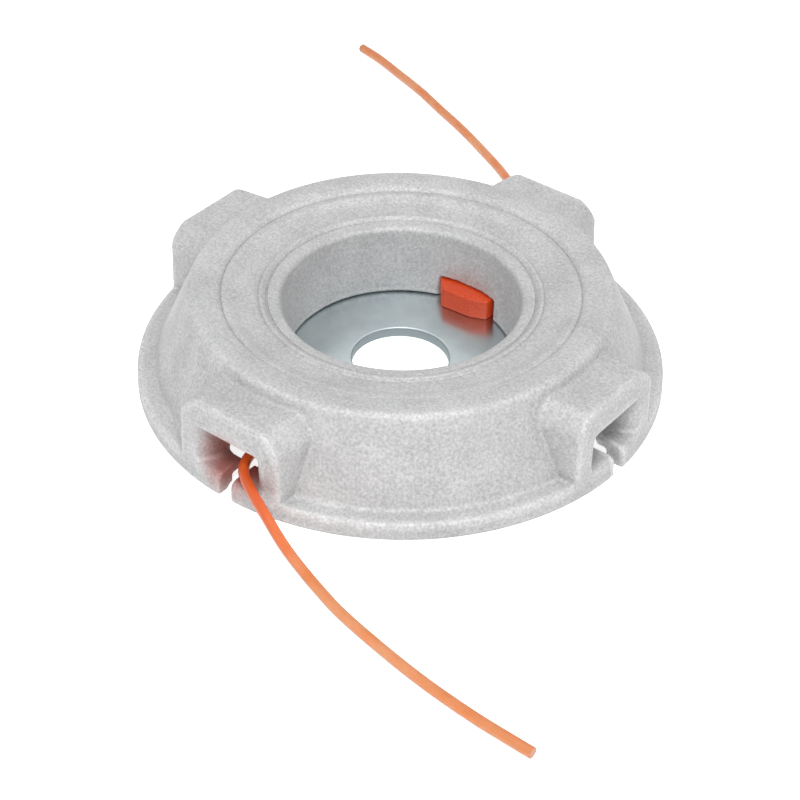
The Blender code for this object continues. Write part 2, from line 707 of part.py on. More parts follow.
def smooth_route(points, count):
    """A smooth curve through chosen points, as evenly spaced points."""
    path = [Vector(point) for point in points]
    path = [2.0 * path[0] - path[1]] + path + [2.0 * path[-1] - path[-2]]
    dense = []
    for before, start, end, after in zip(path, path[1:], path[2:], path[3:]):
        for step in range(16):
            t = step / 16.0
            dense.append(0.5 * (2.0 * start + (end - before) * t
                                + (2.0 * before - 5.0 * start + 4.0 * end - after) * t ** 2
                                + (3.0 * start - before - 3.0 * end + after) * t ** 3))
    dense.append(path[-2])
    lengths = [0.0]
    for one, two in zip(dense, dense[1:]):
        lengths.append(lengths[-1] + (two - one).length)
    even = []
    for number in range(count):
        wanted = lengths[-1] * number / (count - 1)
        index = min(sum(length <= wanted for length in lengths), len(dense) - 1)
        span = lengths[index] - lengths[index - 1]
        even.append(dense[index - 1].lerp(dense[index], min((wanted - lengths[index - 1]) / span, 1.0)))
    return even


def make_line(name, route, parts, material):
    """One pre-cut line, a round tube solid along its route."""
    points = smooth_route(route, LINE_POINTS)
    curve = bpy.data.curves.new(name, "CURVE")
    curve.dimensions = "3D"
    curve.bevel_depth = LINE_DIAMETER / 2.0
    curve.bevel_resolution = 2
    curve.use_fill_caps = True
    spline = curve.splines.new("POLY")
    spline.points.add(len(points) - 1)
    for target, point in zip(spline.points, points):
        target.co = (*point, 1.0)
    curve.materials.append(material)
    return add_object(name, curve, parts)


def main():
    """Builds the head."""
    for old in list(bpy.data.objects):
        bpy.data.objects.remove(old)
    parts = make_collection("fixed_line_trimmer_head")
    cutters = make_collection("cutters")
    aluminium = make_material("cast_aluminium", (0.62, 0.62, 0.63), 0.5, 0.85)
    zinc = make_material("zinc_plated_steel", (0.42, 0.46, 0.48), 0.3, 1.0)
    steel = make_material("black_screw_steel", (0.05, 0.05, 0.055), 0.45, 0.9)
    nylon = make_material("orange_nylon", (0.80, 0.16, 0.05), 0.4, 0.0)
    orange_line = make_material("orange_line", (0.85, 0.27, 0.10), 0.35, 0.0)
    make_body(parts, cutters, aluminium)
    make_plate(parts, cutters, zinc)
    make_screws(parts, cutters, steel)
    for place, angle in LINE_ANGLES.items():
        make_lock("line_lock_" + place, angle, parts, cutters, nylon)
    make_line("line_front", FRONT_ROUTE, parts, orange_line)
    make_line("line_rear", REAR_ROUTE, parts, orange_line)


main()
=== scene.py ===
# %% [markdown]
# # A cast line trimmer head, dressed for its picture
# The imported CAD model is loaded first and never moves: every piece made below takes its place
# from it. The head stands on its rim at z = 0, the arbor's axis is the Z axis, and the four
# line ports lie on the X and Y axes.
# %% Load the frame
import json
import math

import bmesh
import bpy
from mathutils import Matrix, Vector

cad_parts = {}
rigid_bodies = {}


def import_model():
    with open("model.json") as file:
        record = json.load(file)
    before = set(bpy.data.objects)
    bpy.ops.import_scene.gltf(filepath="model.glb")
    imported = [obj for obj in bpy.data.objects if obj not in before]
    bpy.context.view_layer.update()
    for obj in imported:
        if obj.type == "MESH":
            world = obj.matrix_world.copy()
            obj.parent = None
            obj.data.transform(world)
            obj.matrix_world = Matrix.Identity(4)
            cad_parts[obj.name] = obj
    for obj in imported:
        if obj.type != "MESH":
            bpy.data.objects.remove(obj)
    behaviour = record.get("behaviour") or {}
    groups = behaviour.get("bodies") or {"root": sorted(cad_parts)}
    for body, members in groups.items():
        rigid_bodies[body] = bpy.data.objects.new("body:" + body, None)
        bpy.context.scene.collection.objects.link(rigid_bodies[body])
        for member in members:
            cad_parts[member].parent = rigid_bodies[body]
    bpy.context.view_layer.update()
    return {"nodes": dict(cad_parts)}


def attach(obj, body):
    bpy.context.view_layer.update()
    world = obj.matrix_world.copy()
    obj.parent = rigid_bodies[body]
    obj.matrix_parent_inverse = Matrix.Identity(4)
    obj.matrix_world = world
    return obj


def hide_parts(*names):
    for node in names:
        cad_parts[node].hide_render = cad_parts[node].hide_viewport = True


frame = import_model()
print("CAD nodes:", ", ".join(sorted(frame["nodes"])))

# %% [markdown]
# ## The camera
# The picture was taken from about half a metre, looking down at 37 degrees. An orbit round the
# arbor's foot (distance, height angle, compass angle and a slight roll) is easier to reason
# about than raw coordinates, so the camera's matrix is worked out from those four.
# %% Camera
CAMERA_DISTANCE = 0.544
CAMERA_ELEVATION = math.radians(37.06)
CAMERA_COMPASS = math.radians(307.8)
CAMERA_ROLL = math.radians(0.85)
LENS_MM = 93.285
SENSOR_MM = 36.0
FRAME_SHIFT = (-0.0004, -0.0418)
NEAREST_SEEN = 0.01

flat_reach = CAMERA_DISTANCE * math.cos(CAMERA_ELEVATION)
eye = Vector((flat_reach * math.cos(CAMERA_COMPASS), flat_reach * math.sin(CAMERA_COMPASS),
              CAMERA_DISTANCE * math.sin(CAMERA_ELEVATION)))
forward = -eye.normalized()
level = forward.cross(Vector((0.0, 0.0, 1.0))).normalized()
above = level.cross(forward)
right = math.cos(CAMERA_ROLL) * level + math.sin(CAMERA_ROLL) * above
upward = math.cos(CAMERA_ROLL) * above - math.sin(CAMERA_ROLL) * level
camera_data = bpy.data.cameras.new("photo_camera")
camera_data.lens = LENS_MM
camera_data.sensor_width = SENSOR_MM
camera_data.shift_x, camera_data.shift_y = FRAME_SHIFT
camera_data.clip_start = NEAREST_SEEN
camera = bpy.data.objects.new("photo_camera", camera_data)
bpy.context.scene.collection.objects.link(camera)
camera_axes = Matrix((right, upward, -forward)).transposed()
camera.matrix_world = Matrix.Translation(eye) @ camera_axes.to_4x4()
bpy.context.scene.camera = camera
bpy.context.scene.view_settings.view_transform = "Standard"
print("camera height in mm:", round(1000.0 * eye.z))

# %% [markdown]
# ## Small helpers for materials
# Colours are easiest to pick as sRGB hex values, but Blender's nodes want linear numbers. Another
# helper adds one node with its settings and links, which keeps each recipe short. Nodes could
# also be placed by hand in the shader editor, but written down they come out the same each time.
# %% Material helpers
MIX_A, MIX_B, MIX_RESULT = 6, 7, 2  # where a Mix node keeps its colour sockets


def linear(hex_colour):
    """An sRGB hex colour as a linear RGBA tuple."""
    channels = [int(hex_colour[start:start + 2], 16) / 255.0 for start in (1, 3, 5)]
    bent = [c / 12.92 if c <= 0.04045 else ((c + 0.055) / 1.055) ** 2.4 for c in channels]
    return (*bent, 1.0)


def new_material(name):
    """A material with its node tree and its Principled shader."""
    material = bpy.data.materials.new(name)
    material.use_nodes = True
    return material, material.node_tree, material.node_tree.nodes["Principled BSDF"]


def add_node(tree, kind, settings=None, values=None, links=None):
    """Adds a node: settings are its properties, values its inputs, links others' outputs."""
    node = tree.nodes.new(kind)
    for name, value in (settings or {}).items():
        setattr(node, name, value)
    for name, value in (values or {}).items():
        node.inputs[name].default_value = value
    for name, output in (links or {}).items():
        tree.links.new(output, node.inputs[name])
    return node


def add_axis_distance(tree, place):
    """How far a point lies from the arbor's axis, from its Object coordinates."""
    flat = add_node(tree, "ShaderNodeVectorMath", {"operation": "MULTIPLY"}, {1: (1.0, 1.0, 0.0)},
                    {0: place.outputs["Object"]})
    reach = add_node(tree, "ShaderNodeVectorMath", {"operation": "LENGTH"},
                     links={0: flat.outputs["Vector"]})
    return reach.outputs["Value"]


def dress(piece, material):
    """Gives a piece one material."""
    piece.data.materials.clear()
    piece.data.materials.append(material)
    print(piece.name, "gets", material.name)


print("mid grey, linear:", round(linear("#808080")[0], 3))

# %% [markdown]
# ## The two lines
# Pre-cut trimmer line is stiff extruded nylon, 2.7 mm thick, cut square at its tip. A curve with
# a round bevel is the natural way to make it. Its route repeats the CAD solid's points, and the
# smooth curve through them is the one that the solid follows.
# %% Routes of the lines
LINE_DIAMETER = 0.0027
LINE_POINTS = 93
LINE_ROUNDNESS = 5
STEPS_BETWEEN = 16
FRONT_ROUTE = [
    (0.0000, -0.0345, 0.0066), (0.0000, -0.0430, 0.0069), (0.0001, -0.0530, 0.0079),
    (0.0010, -0.0605, 0.0086), (0.0041, -0.0657, 0.0086), (0.0100, -0.0695, 0.0083),
    (0.0163, -0.0727, 0.0079), (0.0288, -0.0786, 0.0069), (0.0428, -0.0834, 0.0058),
    (0.0537, -0.0861, 0.0050), (0.0731, -0.0889, 0.0037), (0.0899, -0.0899, 0.0026),
    (0.1063, -0.0897, 0.0017),
]
REAR_ROUTE = [
    (0.0000, 0.0345, 0.0066), (0.0000, 0.0430, 0.0069), (-0.0001, 0.0530, 0.0079),
    (-0.0012, 0.0607, 0.0086), (-0.0044, 0.0660, 0.0086), (-0.0098, 0.0709, 0.0083),
    (-0.0190, 0.0783, 0.0076), (-0.0298, 0.0860, 0.0067), (-0.0402, 0.0922, 0.0060),
    (-0.0552, 0.1003, 0.0052), (-0.0688, 0.1069, 0.0044), (-0.0815, 0.1131, 0.0037),
    (-0.0935, 0.1181, 0.0030), (-0.1057, 0.1231, 0.0023), (-0.1155, 0.1262, 0.0017),
]


def smooth_route(points, count):
    """Evenly spaced points on a smooth curve through chosen points, and the curve's length."""
    path = [Vector(point) for point in points]
    path = [2.0 * path[0] - path[1]] + path + [2.0 * path[-1] - path[-2]]
    dense = []
    for before, start, end, after in zip(path, path[1:], path[2:], path[3:]):
        for step in range(STEPS_BETWEEN):
            t = step / STEPS_BETWEEN
            dense.append(0.5 * (2.0 * start + (end - before) * t
                                + (2.0 * before - 5.0 * start + 4.0 * end - after) * t ** 2
                                + (3.0 * start - before - 3.0 * end + after) * t ** 3))
    dense.append(path[-2])
    lengths = [0.0]
    for one, two in zip(dense, dense[1:]):
        lengths.append(lengths[-1] + (two - one).length)
    even = []
    for number in range(count):
        wanted = lengths[-1] * number / (count - 1)
        index = min(sum(length <= wanted for length in lengths), len(dense) - 1)
        span = lengths[index] - lengths[index - 1]
        share = min((wanted - lengths[index - 1]) / span, 1.0)
        even.append(dense[index - 1].lerp(dense[index], share))
    return even, lengths[-1]


# %% Make the lines


def make_line(name, route, node):
    """A round line along a route, which stands in for its CAD node."""
    points, length = smooth_route(route, LINE_POINTS)
    curve = bpy.data.curves.new(name, "CURVE")
    curve.dimensions = "3D"
    # each point's radius holds the thickness, because Blender's box of a curve adds that radius
    curve.bevel_depth = 1.0
    curve.bevel_resolution = LINE_ROUNDNESS
    curve.use_fill_caps = True
    spline = curve.splines.new("POLY")
    spline.points.add(len(points) - 1)
    for target, point in zip(spline.points, points):
        target.co = (*point, 1.0)
        target.radius = LINE_DIAMETER / 2.0
    spline.use_smooth = True
    line = bpy.data.objects.new(name, curve)
    bpy.context.scene.collection.objects.link(line)
    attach(line, "root")
    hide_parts(node)
    print(name, "is", round(1000.0 * length), "mm long")
    return line


front_line = make_line("nylon_line_front", FRONT_ROUTE, "line_front")
rear_line = make_line("nylon_line_rear", REAR_ROUTE, "line_rear")

# %% [markdown]
# ## Nylon for the lines
# The line is nylon monofilament, extruded and dyed orange right through. It is a little clear,
# so light comes through it, which half transmission with a soft roughness gives: it looks peach
# where the pale floor is behind it. Near the head its colour is painted a deeper orange, a painted
# shade that stands for the dark port behind it. A faint band across the line, a few millimetres
# long, stands for the uneven draw of the extrusion.
# %% Orange monofilament
DRAW_SPACING_MM = 7.0
# the line is painted a deeper orange, a painted shade, up to this distance from the axis
PORT_SHADE_UP_TO = 0.070
PALE_FROM = 0.092


def make_monofilament():
    """Clear orange extruded nylon."""
    material, tree, shader = new_material("extruded_nylon_monofilament")
    place = add_node(tree, "ShaderNodeTexCoord")
    draw = add_node(tree, "ShaderNodeTexNoise",
                    values={"Scale": 1000.0 / DRAW_SPACING_MM, "Detail": 2.0, "Roughness": 0.5},
                    links={"Vector": place.outputs["Object"]})
    tint = add_node(tree, "ShaderNodeValToRGB", links={"Fac": draw.outputs["Fac"]})
    tint.color_ramp.elements[0].position = 0.35
    tint.color_ramp.elements[0].color = linear("#EC9150")
    tint.color_ramp.elements[1].position = 0.7
    tint.color_ramp.elements[1].color = linear("#F0AA78")
    # beside the head the line is painted a deeper orange: painted shade for the dark port behind
    # it
    toward_pale_orange = add_node(tree, "ShaderNodeMapRange",
                        values={"From Min": PORT_SHADE_UP_TO, "From Max": PALE_FROM},
                        links={"Value": add_axis_distance(tree, place)})
    painted_port_shade = add_node(tree, "ShaderNodeMix", {"data_type": "RGBA"},
                   links={"Factor": toward_pale_orange.outputs["Result"]})
    painted_port_shade.inputs[MIX_A].default_value = linear("#FF7630")
    tree.links.new(tint.outputs["Color"], painted_port_shade.inputs[MIX_B])
    tree.links.new(painted_port_shade.outputs[MIX_RESULT], shader.inputs["Base Color"])
    shader.inputs["Roughness"].default_value = 0.28
    shader.inputs["IOR"].default_value = 1.53
    shader.inputs["Transmission Weight"].default_value = 0.45
    return material


monofilament = make_monofilament()
for line in (front_line, rear_line):
    dress(line, monofilament)

# %% [markdown]
# ## Floor and light
# The head was photographed on a white sweep that was lit until it showed no grey at all. More
# lamps could do that here too, but they would bleach the metal. So the floor is a white matte
# sheet that also glows, only to the camera and in reflections. A faint shadow stays.
# %% Floor
FLOOR_REACH = 1.6
FLOOR_DROP = 0.00005

floor_shape = bmesh.new()
bmesh.ops.create_grid(floor_shape, x_segments=1, y_segments=1, size=FLOOR_REACH,
                      matrix=Matrix.Translation((0.0, 0.0, -FLOOR_DROP)))
floor_mesh = bpy.data.meshes.new("paper_floor")
floor_shape.to_mesh(floor_mesh)
floor_shape.free()
floor = bpy.data.objects.new("paper_floor", floor_mesh)
bpy.context.scene.collection.objects.link(floor)
print("floor is", 2.0 * FLOOR_REACH, "m wide")

# %% White paper
PAPER_GLOW = 0.8


def add_seen_rays(tree):
    """1 for rays that show the background itself, from the camera or by gloss or glass; else 0."""
    rays = add_node(tree, "ShaderNodeLightPath")
    total = add_node(tree, "ShaderNodeMath", {"operation": "ADD"},
                     links={0: rays.outputs["Is Camera Ray"], 1: rays.outputs["Is Glossy Ray"]})
    return add_node(tree, "ShaderNodeMath", {"operation": "ADD", "use_clamp": True},
                    links={0: total.outputs[0], 1: rays.outputs["Is Transmission Ray"]})


paper, paper_tree, paper_shader = new_material("white_matte_paper")
paper_shader.inputs["Base Color"].default_value = linear("#F4F4F4")
paper_shader.inputs["Roughness"].default_value = 0.9
paper_shader.inputs["Specular IOR Level"].default_value = 0.1
paper_shader.inputs["Emission Color"].default_value = (1.0, 1.0, 1.0, 1.0)
seen = add_seen_rays(paper_tree)
glow = add_node(paper_tree, "ShaderNodeMath", {"operation": "MULTIPLY"}, {1: PAPER_GLOW},
                {0: seen.outputs[0]})
paper_tree.links.new(glow.outputs[0], paper_shader.inputs["Emission Strength"])
floor_mesh.materials.append(paper)
print("floor material:", paper.name)

# %% [markdown]
# ## Lamps
# A studio lights such a part with soft boxes, which area lamps copy: the larger the lamp, the
# softer its shadows. The main one hangs high on the camera's side, so the flank and the dish are
# bright and the upright faces of the bosses are a tone darker. A wide weak one above lifts the
# dish, and the white room does the rest.
# %% Soft boxes


def add_soft_box(name, place, size, power):
    """A square area lamp that faces the foot of the arbor's axis."""
    lamp = bpy.data.lights.new(name, "AREA")
    lamp.size = size
    lamp.energy = power
    holder = bpy.data.objects.new(name, lamp)
    bpy.context.scene.collection.objects.link(holder)
    holder.location = place
    holder.rotation_euler = (Vector() - Vector(place)).to_track_quat("-Z", "Y").to_euler()
    print(name, "shines with", power, "W")


add_soft_box("key_soft_box", (0.36, -0.46, 0.95), 0.4, 7.4)
add_soft_box("top_soft_box", (0.0, 0.0, 0.95), 1.2, 1.1)

# %% The white room
ROOM_LIGHT = 0.35
ROOM_SEEN = 1.0

world = bpy.data.worlds.new("white_room")
bpy.context.scene.world = world
world.use_nodes = True
world_seen = add_seen_rays(world.node_tree)
room_light = add_node(world.node_tree, "ShaderNodeMapRange",
                      values={"To Min": ROOM_LIGHT, "To Max": ROOM_SEEN},
                      links={"Value": world_seen.outputs[0]})
room = world.node_tree.nodes["Background"]
room.inputs["Color"].default_value = (1.0, 1.0, 1.0, 1.0)
world.node_tree.links.new(room_light.outputs["Result"], room.inputs["Strength"])
print("the room lights with", ROOM_LIGHT, "and is seen with", ROOM_SEEN)

# %% [markdown]
# ## Helpers for shapes
# The pieces below are drawn in millimetres, as on a workshop drawing, and scaled to metres once
# at the end. A turned piece starts as a half section whose corners carry their own fillets; the
# section is spun about the arbor's axis.
# %% Outline with fillets
MM = 0.001
ARC_STEP = math.radians(12.0)
WALL_SHARE = 0.48


def rounded(corners, closed=True):
    """Points of an outline whose corners (x, y, fillet) are arcs, each within its walls."""
    points = []
    count = len(corners)
    for index, (x, y, radius) in enumerate(corners):
        corner = Vector((x, y))
        if radius <= 0.0 or (not closed and index in (0, count - 1)):
            points.append(corner)
            continue
        before = Vector(corners[index - 1][:2]) - corner
        after = Vector(corners[(index + 1) % count][:2]) - corner
        half = before.angle(after) / 2.0
        shorter = min(before.length, after.length)
        reach = min(radius / math.tan(half), WALL_SHARE * shorter)
        radius = reach * math.tan(half)
        middle = (before.normalized() + after.normalized()).normalized()
        centre = corner + middle * radius / math.sin(half)
        start = corner + before.normalized() * reach - centre
        end = corner + after.normalized() * reach - centre
        turn = start.angle_signed(end)
        segments = max(2, math.ceil(abs(turn) / ARC_STEP))
        for step in range(segments + 1):
            points.append(centre + Matrix.Rotation(-turn * step / segments, 2) @ start)
    return points


print("a square corner gets", len(rounded([(0, 0, 0), (9, 0, 1), (9, 9, 0)])) - 2, "points")

# %% Spin, prism and mesh to object
WELD_MM = 0.0005


def spun(corners, steps, closed=True):
    """A bmesh turned about Z from a half section of (radius, height, fillet) corners."""
    shape = bmesh.new()
    points = [shape.verts.new((point.x, 0.0, point.y)) for point in rounded(corners, closed)]
    for one, two in zip(points, points[1:]):
        shape.edges.new((one, two))
    if closed:
        shape.edges.new((points[-1], points[0]))
    bmesh.ops.spin(shape, geom=shape.verts[:] + shape.edges[:], cent=(0.0, 0.0, 0.0),
                   axis=(0.0, 0.0, 1.0), angle=math.tau, steps=steps, use_merge=True)
    bmesh.ops.remove_doubles(shape, verts=shape.verts, dist=WELD_MM)
    bmesh.ops.recalc_face_normals(shape, faces=shape.faces)
    return shape


def upright_prism(outline, low, high):
    """A bmesh block: a plan outline extruded from one height to another."""
    shape = bmesh.new()
    face = shape.faces.new([shape.verts.new((x, y, low)) for x, y in outline])
    made = bmesh.ops.extrude_face_region(shape, geom=[face])
    raised = [item for item in made["geom"] if isinstance(item, bmesh.types.BMVert)]
    bmesh.ops.translate(shape, verts=raised, vec=(0.0, 0.0, high - low))
    bmesh.ops.recalc_face_normals(shape, faces=shape.faces)
    return shape


def repeat_round(shape, angles):
    """Turns one shape that lies along +X into copies about the Z axis."""
    first = shape.verts[:] + shape.edges[:] + shape.faces[:]
    copies = [bmesh.ops.duplicate(shape, geom=first)["geom"] for _ in angles[1:]]
    for geometry, angle in zip([first] + copies, angles):
        verts = [item for item in geometry if isinstance(item, bmesh.types.BMVert)]
        bmesh.ops.rotate(shape, verts=verts, cent=(0.0, 0.0, 0.0),
                         matrix=Matrix.Rotation(angle, 3, "Z"))
    return shape


def to_object(shape, name, sharp_degrees=40.0):
    """Scales a bmesh to metres and makes it an object, smooth up to its real edges."""
    bmesh.ops.scale(shape, vec=(MM, MM, MM), verts=shape.verts)
    mesh = bpy.data.meshes.new(name)
    shape.to_mesh(mesh)
    shape.free()
    mesh.shade_smooth()
    mesh.set_sharp_from_angle(angle=math.radians(sharp_degrees))
    made = bpy.data.objects.new(name, mesh)
    bpy.context.scene.collection.objects.link(made)
    return made


# %% Cut, join and settle


def combine(piece, other, operation):
    """Adds a Boolean of a piece with another one, which is then taken out of the scene."""
    boolean = piece.modifiers.new(operation.lower(), "BOOLEAN")
    boolean.operation = operation
    boolean.solver = "EXACT"
    boolean.object = other


def settle(piece, helpers=(), sharp_degrees=40.0):
    """Turns a piece's modifiers into its mesh and deletes the shapes that they used."""
    bpy.context.view_layer.update()
    evaluated = piece.evaluated_get(bpy.context.evaluated_depsgraph_get())
    mesh = bpy.data.meshes.new_from_object(evaluated)
    piece.modifiers.clear()
    piece.data = mesh
    mesh.shade_smooth()
    mesh.set_sharp_from_angle(angle=math.radians(sharp_degrees))
    for helper in helpers:
        bpy.data.objects.remove(helper)
    print(piece.name, "has", sum(len(face.vertices) - 2 for face in mesh.polygons), "triangles")


# %% [markdown]
# ## The casting's drawing
# The body is one aluminium casting: a dished top round a bore, a sloping flank, and a flat rim.
# Four bosses stand out of the flank, and each holds a port for a line. Sizes that more than one
# step needs are named here, as on a maker's drawing. A pair is a radius and a height.
# %% Sizes of the casting in millimetres
BORE_FOOT = (29.3, 3.7)
BORE_TOP = (30.95, 22.68)
RING_FOOT = (43.35, 24.33)
SHOULDER = (54.0, 27.0)
FLANK_FOOT = (63.6, 5.2)
RIM_RADIUS = 68.5
RIM_HEIGHT = 4.8
RIM_INNER = 63.0
FLOOR_TOP = 6.0
FLOOR_UNDER = 3.7
SHELL_WALL = 3.5
HUB_RADIUS = 34.5
POST_CIRCLE = 39.5
PILOT_RADIUS = 2.8
QUARTERS = [math.radians(90.0 * number) for number in range(4)]
DIAGONALS = [math.radians(45.0 + 90.0 * number) for number in range(4)]
LINE_SIDES = [math.radians(-90.0), math.radians(90.0)]

flank_slope = (FLANK_FOOT[0] - SHOULDER[0]) / (SHOULDER[1] - FLANK_FOOT[1])
bore_slope = (BORE_TOP[0] - BORE_FOOT[0]) / (BORE_TOP[1] - BORE_FOOT[1])


def inner_radius(height):
    """Inner radius of the shell's wall at a height."""
    outer = FLANK_FOOT[0] - flank_slope * (height - FLANK_FOOT[1])
    return outer - SHELL_WALL * math.hypot(1.0, flank_slope)


print("wall on the inside of the foot at radius", round(inner_radius(FLOOR_UNDER), 1), "mm")

# %% [markdown]
# ## Turning the body
# A lathe would cut such a round form from a section, and spin does the same. The inner part of
# the dish is left out here, because its fine collars come later as a ring of their own: the next
# steps melt this body's edges, as sand and tumbling do, and that would wipe out lines half a
# millimetre wide. The seam between the two lies in the groove that runs round the dish.
# %% Spin the body
TURN_STEPS = 180
DISH_SEAT = 18.5
SEAT_RADIUS = 31.8
GROOVE = (46.0, 25.1)
DISH_BROW = (50.2, 26.5)
SHOULDER_TOP = 26.56
RIM_FOOT_INNER = 65.1
CEILING = 18.78

bore_at_seat = BORE_FOOT[0] + bore_slope * (DISH_SEAT - BORE_FOOT[1])
shoulder_radius = SHOULDER[0] + flank_slope * (SHOULDER[1] - SHOULDER_TOP)
ceiling_end = SHOULDER[1] - 5.0
body = to_object(spun([
    (bore_at_seat, DISH_SEAT, 0.0),
    (SEAT_RADIUS, DISH_SEAT + 0.8, 0.0),
    (SEAT_RADIUS, 21.8, 0.0),
    (42.0, 22.4, 0.0),
    (GROOVE[0] - 0.3, GROOVE[1] - 1.0, 0.0),
    (GROOVE[0] + 0.2, GROOVE[1], 0.0),
    (GROOVE[0] + 1.2, GROOVE[1] + 0.85, 1.2),
    (*DISH_BROW, 2.0),
    (shoulder_radius, SHOULDER_TOP, 1.9),
    (*FLANK_FOOT, 1.8),
    (RIM_RADIUS - 0.2, RIM_HEIGHT, 0.9),
    (RIM_RADIUS, 0.0, 0.6),
    (RIM_FOOT_INNER, 0.0, 0.3),
    (RIM_INNER, FLOOR_UNDER, 0.5),
    (inner_radius(FLOOR_UNDER), FLOOR_UNDER, 0.3),
    (inner_radius(ceiling_end), ceiling_end, 2.2),
    (RING_FOOT[0], CEILING + 0.6, 0.0),
    (HUB_RADIUS + 0.6, CEILING, 2.2),
    (HUB_RADIUS, BORE_FOOT[1], 0.3),
    (*BORE_FOOT, 0.3),
], TURN_STEPS), "cast_body")
print("turned body:", len(body.data.polygons), "faces")

# %% [markdown]
# ## The bosses
# Each port sits in a boss: a block with a flat top and broad crowned shoulders, and a sharper
# edge round its face. A loft could make it, but a cube whose corners are moved gives the tapers
# at once. Two bevels follow, because a bevel has one width: the long top edges first, with a
# profile between a flat chamfer (0.25) and a full round (0.5), then the outline of the face. A
# core cuts the block off inside the wall, and a disc trims its face to the rim.
# %% Bosses round the ports
BOSS_ROOT = 49.5
BOSS_TOP = 23.6
BOSS_HALF_WIDTH = 15.5
BOSS_ROUND = 5.0
BOSS_CROWN = 0.36
FACE_ROUND = 1.1
FACE_DRAFT = 1.9
SIDE_DRAFT = 0.3
BOSS_FLARE = 0.14
BOSS_FOOT = 1.2

block = bmesh.new()
bmesh.ops.create_cube(block, size=2.0)
for vert in block.verts:
    outer = vert.co.x > 0.0
    reach = RIM_RADIUS if outer else BOSS_ROOT
    half_width = BOSS_HALF_WIDTH + (0.0 if outer else BOSS_FLARE * (RIM_RADIUS - BOSS_ROOT))
    side = math.copysign(1.0, vert.co.y)
    if vert.co.z > 0.0:
        vert.co = (reach - FACE_DRAFT, side * (half_width - SIDE_DRAFT), BOSS_TOP)
    else:
        vert.co = (reach, side * half_width, BOSS_FOOT)
long_edges = [edge for edge in block.edges
              if min(vert.co.z for vert in edge.verts) > RIM_HEIGHT
              and abs(edge.verts[0].co.x - edge.verts[1].co.x) > BOSS_ROUND]
bmesh.ops.bevel(block, geom=long_edges, offset=BOSS_ROUND, segments=8, profile=BOSS_CROWN,
                affect="EDGES", clamp_overlap=True, material=-1)
block.normal_update()
face_edges = [edge for edge in block.edges
              if any(face.normal.x > 0.9 for face in edge.link_faces)
              and max(vert.co.z for vert in edge.verts) > RIM_HEIGHT]
bmesh.ops.bevel(block, geom=face_edges, offset=FACE_ROUND, segments=4, profile=0.5,
                affect="EDGES", clamp_overlap=True, material=-1)
bosses = to_object(repeat_round(block, QUARTERS), "boss_blocks")
print("long edges rounded on a boss:", len(long_edges))

# %% Fit the bosses to the wall and the rim
FACE_RADIUS = RIM_RADIUS - 0.3
PAST = 1.0  # how far a cutter reaches past what it cuts


def middle_radius(height):
    """Radius of the middle of the shell's wall at a height."""
    return inner_radius(height) + SHELL_WALL * math.hypot(1.0, flank_slope) / 2.0


rim_middle = (RIM_INNER + FLANK_FOOT[0]) / 2.0
core_top = SHOULDER[1] - 2.2
core = to_object(spun([
    (0.0, core_top, 0.0),
    (middle_radius(core_top), core_top, 0.0),
    (middle_radius(FLANK_FOOT[1]), FLANK_FOOT[1], 0.0),
    (rim_middle, FLANK_FOOT[1], 0.0),
    (rim_middle, -PAST, 0.0),
    (0.0, -PAST, 0.0),
], TURN_STEPS, closed=False), "core")
trim = to_object(spun([
    (0.0, SHOULDER[1], 0.0),
    (FACE_RADIUS, SHOULDER[1], 0.0),
    (FACE_RADIUS, 0.0, 0.0),
    (0.0, 0.0, 0.0),
], TURN_STEPS, closed=False), "trim")
# half a step's turn keeps their facets off the body's, which a Boolean handles better
half_step = Matrix.Rotation(math.pi / TURN_STEPS, 4, "Z")
core.data.transform(half_step)
trim.data.transform(half_step)
combine(bosses, core, "DIFFERENCE")
combine(bosses, trim, "INTERSECT")
settle(bosses, (core, trim))

# %% [markdown]
# ## The ports
# A port is a straight throat that opens into a funnel. Its cheeks roll outwards, so that the
# line bends round them, out to the boss's own corners, and its floor rolls down over the rim. A
# bevelled box has no such flare, so the cutter is a loft: rounded sections, joined ring to ring
# with bridge_loops. A roll is a pair, how deep it turns away and over what length.
# %% Sections of a port
THROAT_HALF_WIDTH = 6.5
THROAT_TOP = 13.5
MOUTH_LENGTH = 7.5
MOUTH_SPREAD = 2.8
MOUTH_RISE = 4.1
CHEEK_ROLL = (6.9, 5.0)
BROW_PINCH = 0.12
FLOOR_ROLL = (2.2, 2.4)
THROAT_CORNER = 1.2
CORNER_GROWTH = 0.33
CORNER_POINTS = 7
ROLL_END = 0.98  # a full quarter turn ends in a cliff, so a roll stops just before it


def roll(distance, length, depth):
    """How far a rounded lip has turned away, at a distance along its length."""
    along = min(max(distance / length, 0.0), ROLL_END)
    return depth * (1.0 - math.sqrt(1.0 - along * along))


def port_section(shape, reach):
    """A closed loop of edges: the port's rounded rectangle at a distance from the arbor."""
    spread = min(max((reach - RIM_RADIUS) / MOUTH_LENGTH + 1.0, 0.0), 1.0)
    cheek = roll(reach - RIM_RADIUS + CHEEK_ROLL[1], CHEEK_ROLL[1], CHEEK_ROLL[0])
    half_width = THROAT_HALF_WIDTH + MOUTH_SPREAD * spread + cheek
    top = THROAT_TOP + MOUTH_RISE * spread
    low = FLOOR_TOP - roll(reach - RIM_RADIUS + FLOOR_ROLL[1], FLOOR_ROLL[1], FLOOR_ROLL[0])
    corner = THROAT_CORNER + CORNER_GROWTH * cheek
    above = (half_width - corner - BROW_PINCH * cheek, top - corner)
    below = (half_width - corner, low + corner)
    verts = []
    for side, (y, z), first in ((1.0, above, 90.0), (1.0, below, 0.0),
                                (-1.0, below, -90.0), (-1.0, above, 180.0)):
        for step in range(CORNER_POINTS):
            angle = math.radians(first - 90.0 * step / (CORNER_POINTS - 1))
            verts.append(shape.verts.new((reach, side * y + corner * math.cos(angle),
                                          z + corner * math.sin(angle))))
    return [shape.edges.new(pair) for pair in zip(verts, verts[1:] + verts[:1])]


